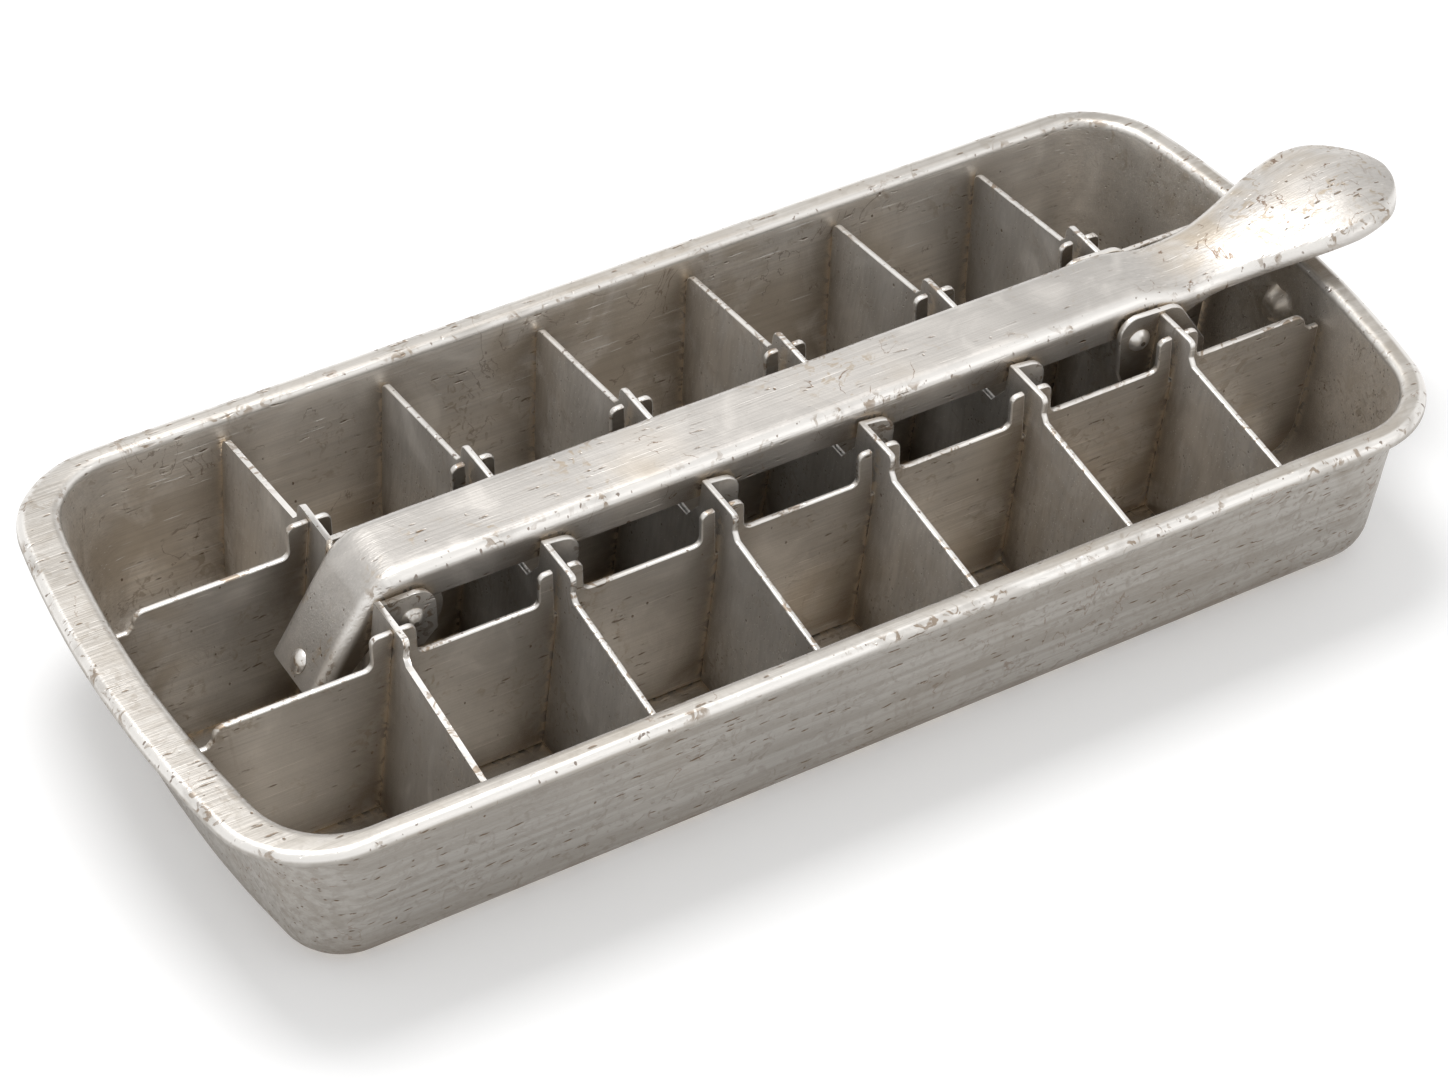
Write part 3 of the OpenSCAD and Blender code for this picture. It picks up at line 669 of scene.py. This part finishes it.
def lay_brushed_grey(metal, tone):
    metal.colour = metal.blend(metal.rise(metal.cloud, 0.36, 0.62),
                               shade(tone, 0.76), shade(tone, 1.10))
    metal.paint(shade(tone, 0.72), metal.rise(metal.streak, 0.38, 0.66, 0.35))
    metal.paint(shade(tone, 0.62), metal.rise(metal.brushed, 0.40, 0.66, 0.30))
    metal.paint(shade(tone, 1.22), metal.rise(metal.patch, 0.54, 0.70, 0.35))


def lay_mottling(metal, amount):
    metal.brown = metal.where_all(metal.rise(metal.fleck, 0.52, 0.64),
                                  metal.rise(metal.patch, 0.52, 0.36))
    metal.paint(MOTTLE_BROWN, metal.brown, amount)
    tan = metal.where_all(metal.rise(metal.cloud, 0.50, 0.62),
                          metal.rise(metal.patch, 0.40, 0.60))
    metal.paint(MOTTLE_TAN, tan, amount * 0.9)


print("grey and mottling ready")

# %% [markdown]
# Handling leaves long pale scratches in a few directions. Weather and washing turn the outer
# walls and the rim dull, which the "dull" attribute marks. Knocks leave thin brown cracks,
# which are the lines where a noise crosses its middle value, and short dashes and pits.
# %% Layers: scratches, dull walls, cracks, dashes and pits
SCRATCH_TURN = 25
DULL_PALE, DULL_DARK, DULL_FLECK = (0.37, 0.35, 0.325), (0.29, 0.267, 0.238), (0.24, 0.215, 0.185)
CRACK_BROWN, MARK_BROWN = (0.20, 0.13, 0.085), (0.15, 0.10, 0.06)


def lay_scratches(metal, tone, amount):
    first = strokes(metal, (8, 12, SCRATCH_TURN), 0.008, 0.00010, 0.07, wobble=0.6)
    second = strokes(metal, (-14, 62, -SCRATCH_TURN), 0.005, 0.00009, 0.06, wobble=0.6)
    third = strokes(metal, (50, -38, 10), 0.012, 0.00010, 0.05, wobble=0.9)
    scratch = metal.math("MAXIMUM", metal.math("MAXIMUM", first, second), third)
    metal.scratch = metal.where_all(scratch, metal.rise(metal.cloud, 0.42, 0.55, 1.0, 0.35))
    metal.paint(shade(tone, 1.4), metal.scratch, amount)


def lay_dull_walls(metal):
    metal.dull = metal.noted("dull")
    weathered = metal.blend(metal.rise(metal.streak, 0.36, 0.64), DULL_PALE, DULL_DARK)
    weathered = metal.blend(metal.rise(metal.fleck, 0.46, 0.72, 0.6), weathered, DULL_FLECK)
    metal.paint(weathered, metal.dull, 0.84)


def lay_cracks(metal, amount):
    vein = metal.math("SUBTRACT", metal.noise(60, 7, distortion=1.6), 0.5)
    crack = metal.where_all(metal.rise(metal.math("ABSOLUTE", vein, 0.0), 0.009, 0.003),
                            metal.rise(metal.noise(150, 2), 0.50, 0.56),
                            metal.rise(metal.cloud, 0.46, 0.54))
    metal.paint(CRACK_BROWN, crack, amount)


def lay_dashes_and_pits(metal, amount):
    crowd = metal.math("MAXIMUM", metal.rise(metal.patch, 0.60, 0.38), metal.dull)
    short = strokes(metal, (20, 40, 30), 0.0016, 0.00019, 0.14, wobble=0.9)
    long = strokes(metal, (-35, -25, 60), 0.0026, 0.00019, 0.12, wobble=1.3)
    pit = strokes(metal, (0, 0, 0), 0.0005, 0.00030, 0.016)
    dash = metal.where_all(metal.math("MAXIMUM", short, long), crowd)
    metal.mark = metal.where_all(metal.math("MAXIMUM", dash, pit),
                                 metal.rise(metal.grain, 0.25, 0.45))
    metal.paint(MARK_BROWN, metal.mark, amount)


print("scratches and marks ready")

# %% [markdown]
# Where sheets meet, a broad brown darkening is painted: painted shade in the creases, with some
# dirt in it, and a thin pale line of lime in the seam itself. It could be painted by hand, but
# ambient occlusion finds such places from the shape alone. Edges that their attribute marks are
# painted bright, as rubbed wear and as a painted highlight, with dark nicks and spots of tarnish.
# %% Layers: painted shade and dirt in the creases, and rubbed edges with a painted highlight
CORNER_REACH, SEAM_REACH = 0.011, 0.0020
# The corner brown is painted shade with some dirt in it; the lime is the seams' own colour.
SHADE_AND_DIRT_BROWN, LIME_LINE = (0.17, 0.125, 0.08), (0.74, 0.62, 0.47)
# The pale edge colour is rubbed wear and a painted highlight together.
EDGE_WEAR_AND_HIGHLIGHT, NICK_DARK, TARNISH = (0.84, 0.815, 0.78), (0.16, 0.11, 0.08), (0.24, 0.17, 0.11)
SHADE_AND_DIRT_AMOUNT = 0.8


def openness(metal, reach):
    shelter = metal.add("AmbientOcclusion", samples=4)
    shelter.inputs["Distance"].default_value = reach
    return shelter.outputs["AO"]


def lay_shade_and_dirt(metal):
    # Painted shade: corners that ambient occlusion finds are darkened brown, with some dirt in it.
    corner_shade = metal.where_all(metal.rise(openness(metal, CORNER_REACH), 0.94, 0.50),
                             metal.rise(metal.patch, 0.34, 0.56, 0.95, 0.45))
    seam = metal.where_all(metal.rise(openness(metal, SEAM_REACH), 0.82, 0.62),
                           metal.rise(metal.fleck, 0.40, 0.52))
    metal.paint(SHADE_AND_DIRT_BROWN, corner_shade, SHADE_AND_DIRT_AMOUNT)
    metal.paint(LIME_LINE, seam, SHADE_AND_DIRT_AMOUNT)


def lay_rubbed_edges_and_highlight(metal, amount):
    # Rubbed edges: real wear, and a painted highlight on the folds and edges that catch the light.
    wear_and_highlight = metal.noted("wear_and_highlight")
    border = metal.rise(wear_and_highlight, 0.25, 0.85)
    metal.edge = metal.where_all(border, metal.rise(metal.patch, 0.34, 0.52, 1.0, 0.35))
    metal.paint(EDGE_WEAR_AND_HIGHLIGHT, metal.edge, amount)
    cuts = metal.noise(1, 1, metal.turned((0, 0, 9), (900, 900, 60)))
    nick = metal.where_all(metal.rise(cuts, 0.68, 0.74), metal.rise(wear_and_highlight, 0.3, 0.7),
                           metal.rise(metal.patch, 0.38, 0.5))
    metal.paint(NICK_DARK, nick, 0.8)
    tarnish = metal.where_all(border, metal.rise(metal.fleck, 0.53, 0.60),
                              metal.rise(metal.patch, 0.56, 0.42))
    metal.paint(TARNISH, tarnish, 0.75)


print("dirt and edges ready")

# %% [markdown]
# The marks are also felt: brushed lines and stains are rougher than the bare sheet, rubbed
# edges are smoother, and scratches and pits lie a little below the face. They could be cut
# into the mesh, but a bump from the same noises is lighter and stays in step with the colour.
# Metallic stays under 1, because old aluminium carries a thin dull skin.
# %% Surface: roughness, relief and the shader
METALLIC, RELIEF_STRENGTH, RELIEF_DEPTH = 0.88, 0.4, 0.00026


def weighted(metal, start, *terms):
    """Adds to a start value each socket of the terms times its weight."""
    total = start
    for socket, weight in terms:
        operation = "ADD" if weight > 0 else "SUBTRACT"
        total = metal.math(operation, total, metal.math("MULTIPLY", socket, abs(weight)))
    return total


def give_surface(metal, roughness):
    base = metal.math("ADD", metal.rise(metal.patch, 0.25, 0.75, 0.12), roughness - 0.06)
    base = weighted(metal, base, (metal.brushed, 0.12), (metal.brown, 0.12))
    rough = metal.math("SUBTRACT", base, metal.math("MULTIPLY", metal.edge, 0.12), clamp=True)
    relief = weighted(metal, metal.math("MULTIPLY", metal.brushed, 0.6), (metal.grain, 0.2),
                      (metal.patch, 1.6), (metal.scratch, -0.4), (metal.mark, -1.2))
    bump = metal.add("Bump")
    bump.inputs["Strength"].default_value = RELIEF_STRENGTH
    bump.inputs["Distance"].default_value = RELIEF_DEPTH
    metal.links.new(relief, bump.inputs["Height"])
    shader = metal.add("BsdfPrincipled")
    shader.inputs["Metallic"].default_value = METALLIC
    metal.links.new(metal.colour, shader.inputs["Base Color"])
    metal.links.new(rough, shader.inputs["Roughness"])
    metal.links.new(bump.outputs[0], shader.inputs["Normal"])
    output = metal.add("OutputMaterial")
    metal.links.new(shader.outputs[0], output.inputs["Surface"])


print("surface ready")

# %% [markdown]
# Every piece is the same old metal, so one recipe serves all. What differs is how pale it is,
# which way it was brushed, and how much of each mark it carries: the lever is the darkest
# and most stained, and the cross dividers are the least stained.
# %% Worn aluminium
def worn_aluminium(name, tone, brush, roughness=0.40, mottle=0.4, dashes=0.8, scratches=0.6,
                   cracks=0.5, wear_and_highlight_amount=0.9):
    metal = Metal(name, brush)
    lay_brushed_grey(metal, tone)
    lay_mottling(metal, mottle)
    lay_scratches(metal, tone, scratches)
    lay_dull_walls(metal)
    lay_cracks(metal, cracks)
    lay_dashes_and_pits(metal, dashes)
    lay_shade_and_dirt(metal)
    lay_rubbed_edges_and_highlight(metal, wear_and_highlight_amount)
    give_surface(metal, roughness)
    print(name + ":", len(metal.nodes), "nodes")
    return metal.material


pan_metal = worn_aluminium("pan_metal", (0.83, 0.785, 0.725), (45, 2600, 2600),
                           mottle=0.6, dashes=0.9)
long_metal = worn_aluminium("long_divider_metal", (0.66, 0.625, 0.58), (60, 900, 2600),
                            mottle=0.5, cracks=0.2, wear_and_highlight_amount=0.65)
cross_metal = worn_aluminium("cross_divider_metal", (0.74, 0.715, 0.68), (900, 900, 160),
                             mottle=0.35, scratches=0.8, cracks=0.2, wear_and_highlight_amount=0.7)
lever_metal = worn_aluminium("lever_metal", (0.59, 0.56, 0.525), (40, 2400, 2400),
                             roughness=0.35, mottle=0.7, dashes=0.95, cracks=0.9)
rivet_metal = worn_aluminium("rivet_metal", (0.50, 0.47, 0.43), (500, 500, 500), roughness=0.36)

# %% Give each piece its metal
finishes = ((pan_metal, [pan]), (lever_metal, [lever, lever_lobes]), (long_metal, lengthwise),
            (cross_metal, crosswise), (rivet_metal, hardware))
for material, pieces in finishes:
    for piece in pieces:
        piece.data.materials.clear()
        piece.data.materials.append(material)
print("finished:", sum(len(pieces) for material, pieces in finishes), "pieces")

# %% [markdown]
# ## Floor and light
# The tray stands on plain white, in soft light from above and a little behind. A white floor
# could be had by more light, but that would bleach the metal. So the floor adds some of its
# own white where the camera or a reflection sees it, and still keeps the tray's shadow.
# %% Floor
FLOOR_WHITE, FLOOR_GLOW = (0.78, 0.78, 0.78, 1), (0.26, 0.26, 0.26, 1)
deselect()
bpy.ops.mesh.primitive_plane_add(size=8, location=(0, 0, -0.0001))
floor = bpy.context.object
floor.name = "studio_floor"


def seen_directly(nodes, links):
    """1 where the camera, a reflection or a view through glass looks, otherwise 0."""
    path = nodes.new("ShaderNodeLightPath")
    value = path.outputs["Is Camera Ray"]
    for socket in ("Is Glossy Ray", "Is Transmission Ray"):
        largest = nodes.new("ShaderNodeMath")
        largest.operation = "MAXIMUM"
        links.new(value, largest.inputs[0])
        links.new(path.outputs[socket], largest.inputs[1])
        value = largest.outputs[0]
    return value


paper = bpy.data.materials.new("white_paper")
paper.use_nodes = True
nodes, links = paper.node_tree.nodes, paper.node_tree.links
nodes.clear()
diffuse = nodes.new("ShaderNodeBsdfDiffuse")
diffuse.inputs["Color"].default_value = FLOOR_WHITE
glow = nodes.new("ShaderNodeEmission")
glow.inputs["Color"].default_value = FLOOR_GLOW
links.new(seen_directly(nodes, links), glow.inputs["Strength"])
shadow_and_glow = nodes.new("ShaderNodeAddShader")
links.new(diffuse.outputs[0], shadow_and_glow.inputs[0])
links.new(glow.outputs[0], shadow_and_glow.inputs[1])
paper_output = nodes.new("ShaderNodeOutputMaterial")
links.new(shadow_and_glow.outputs[0], paper_output.inputs["Surface"])
floor.data.materials.append(paper)
print("floor:", floor.name)

# %% [markdown]
# The sky is an even white that shows at full strength and lights a little less. Lamps alone
# could light the tray, but bare metal then reflects black. Two soft boxes do the rest: a key
# light overhead gives the highlights and the soft shadow, and a weak fill opens the front wall.
# %% World and lamps
SKY_LIGHTS, SKY_SHOWS = 0.72, 1.0
scene = bpy.context.scene
scene.view_settings.view_transform = "Standard"
world = bpy.data.worlds.new("studio")
scene.world = world
world.use_nodes = True
nodes, links = world.node_tree.nodes, world.node_tree.links
nodes.clear()
sky = nodes.new("ShaderNodeBackground")
sky.inputs["Color"].default_value = (1, 1, 1, 1)
strength = nodes.new("ShaderNodeMapRange")
strength.inputs["To Min"].default_value = SKY_LIGHTS
strength.inputs["To Max"].default_value = SKY_SHOWS
links.new(seen_directly(nodes, links), strength.inputs["Value"])
links.new(strength.outputs[0], sky.inputs["Strength"])
world_output = nodes.new("ShaderNodeOutputWorld")
links.new(sky.outputs[0], world_output.inputs["Surface"])


def softbox(name, place, size, power):
    """A lamp that aims at the tray."""
    lamp = bpy.data.lights.new(name, "AREA")
    lamp.shape = "RECTANGLE"
    lamp.size, lamp.size_y = size
    lamp.energy = power
    box = bpy.data.objects.new(name, lamp)
    box.location = place
    box.rotation_euler = (-Vector(place)).to_track_quat("-Z", "Y").to_euler()
    scene.collection.objects.link(box)


softbox("key_light", (-0.05, 0.45, 1.5), (0.6, 0.6), 12)
softbox("fill_light", (0.9, -1.2, 1.0), (1.2, 0.8), 1.5)
print("lamps:", len(bpy.data.lights))
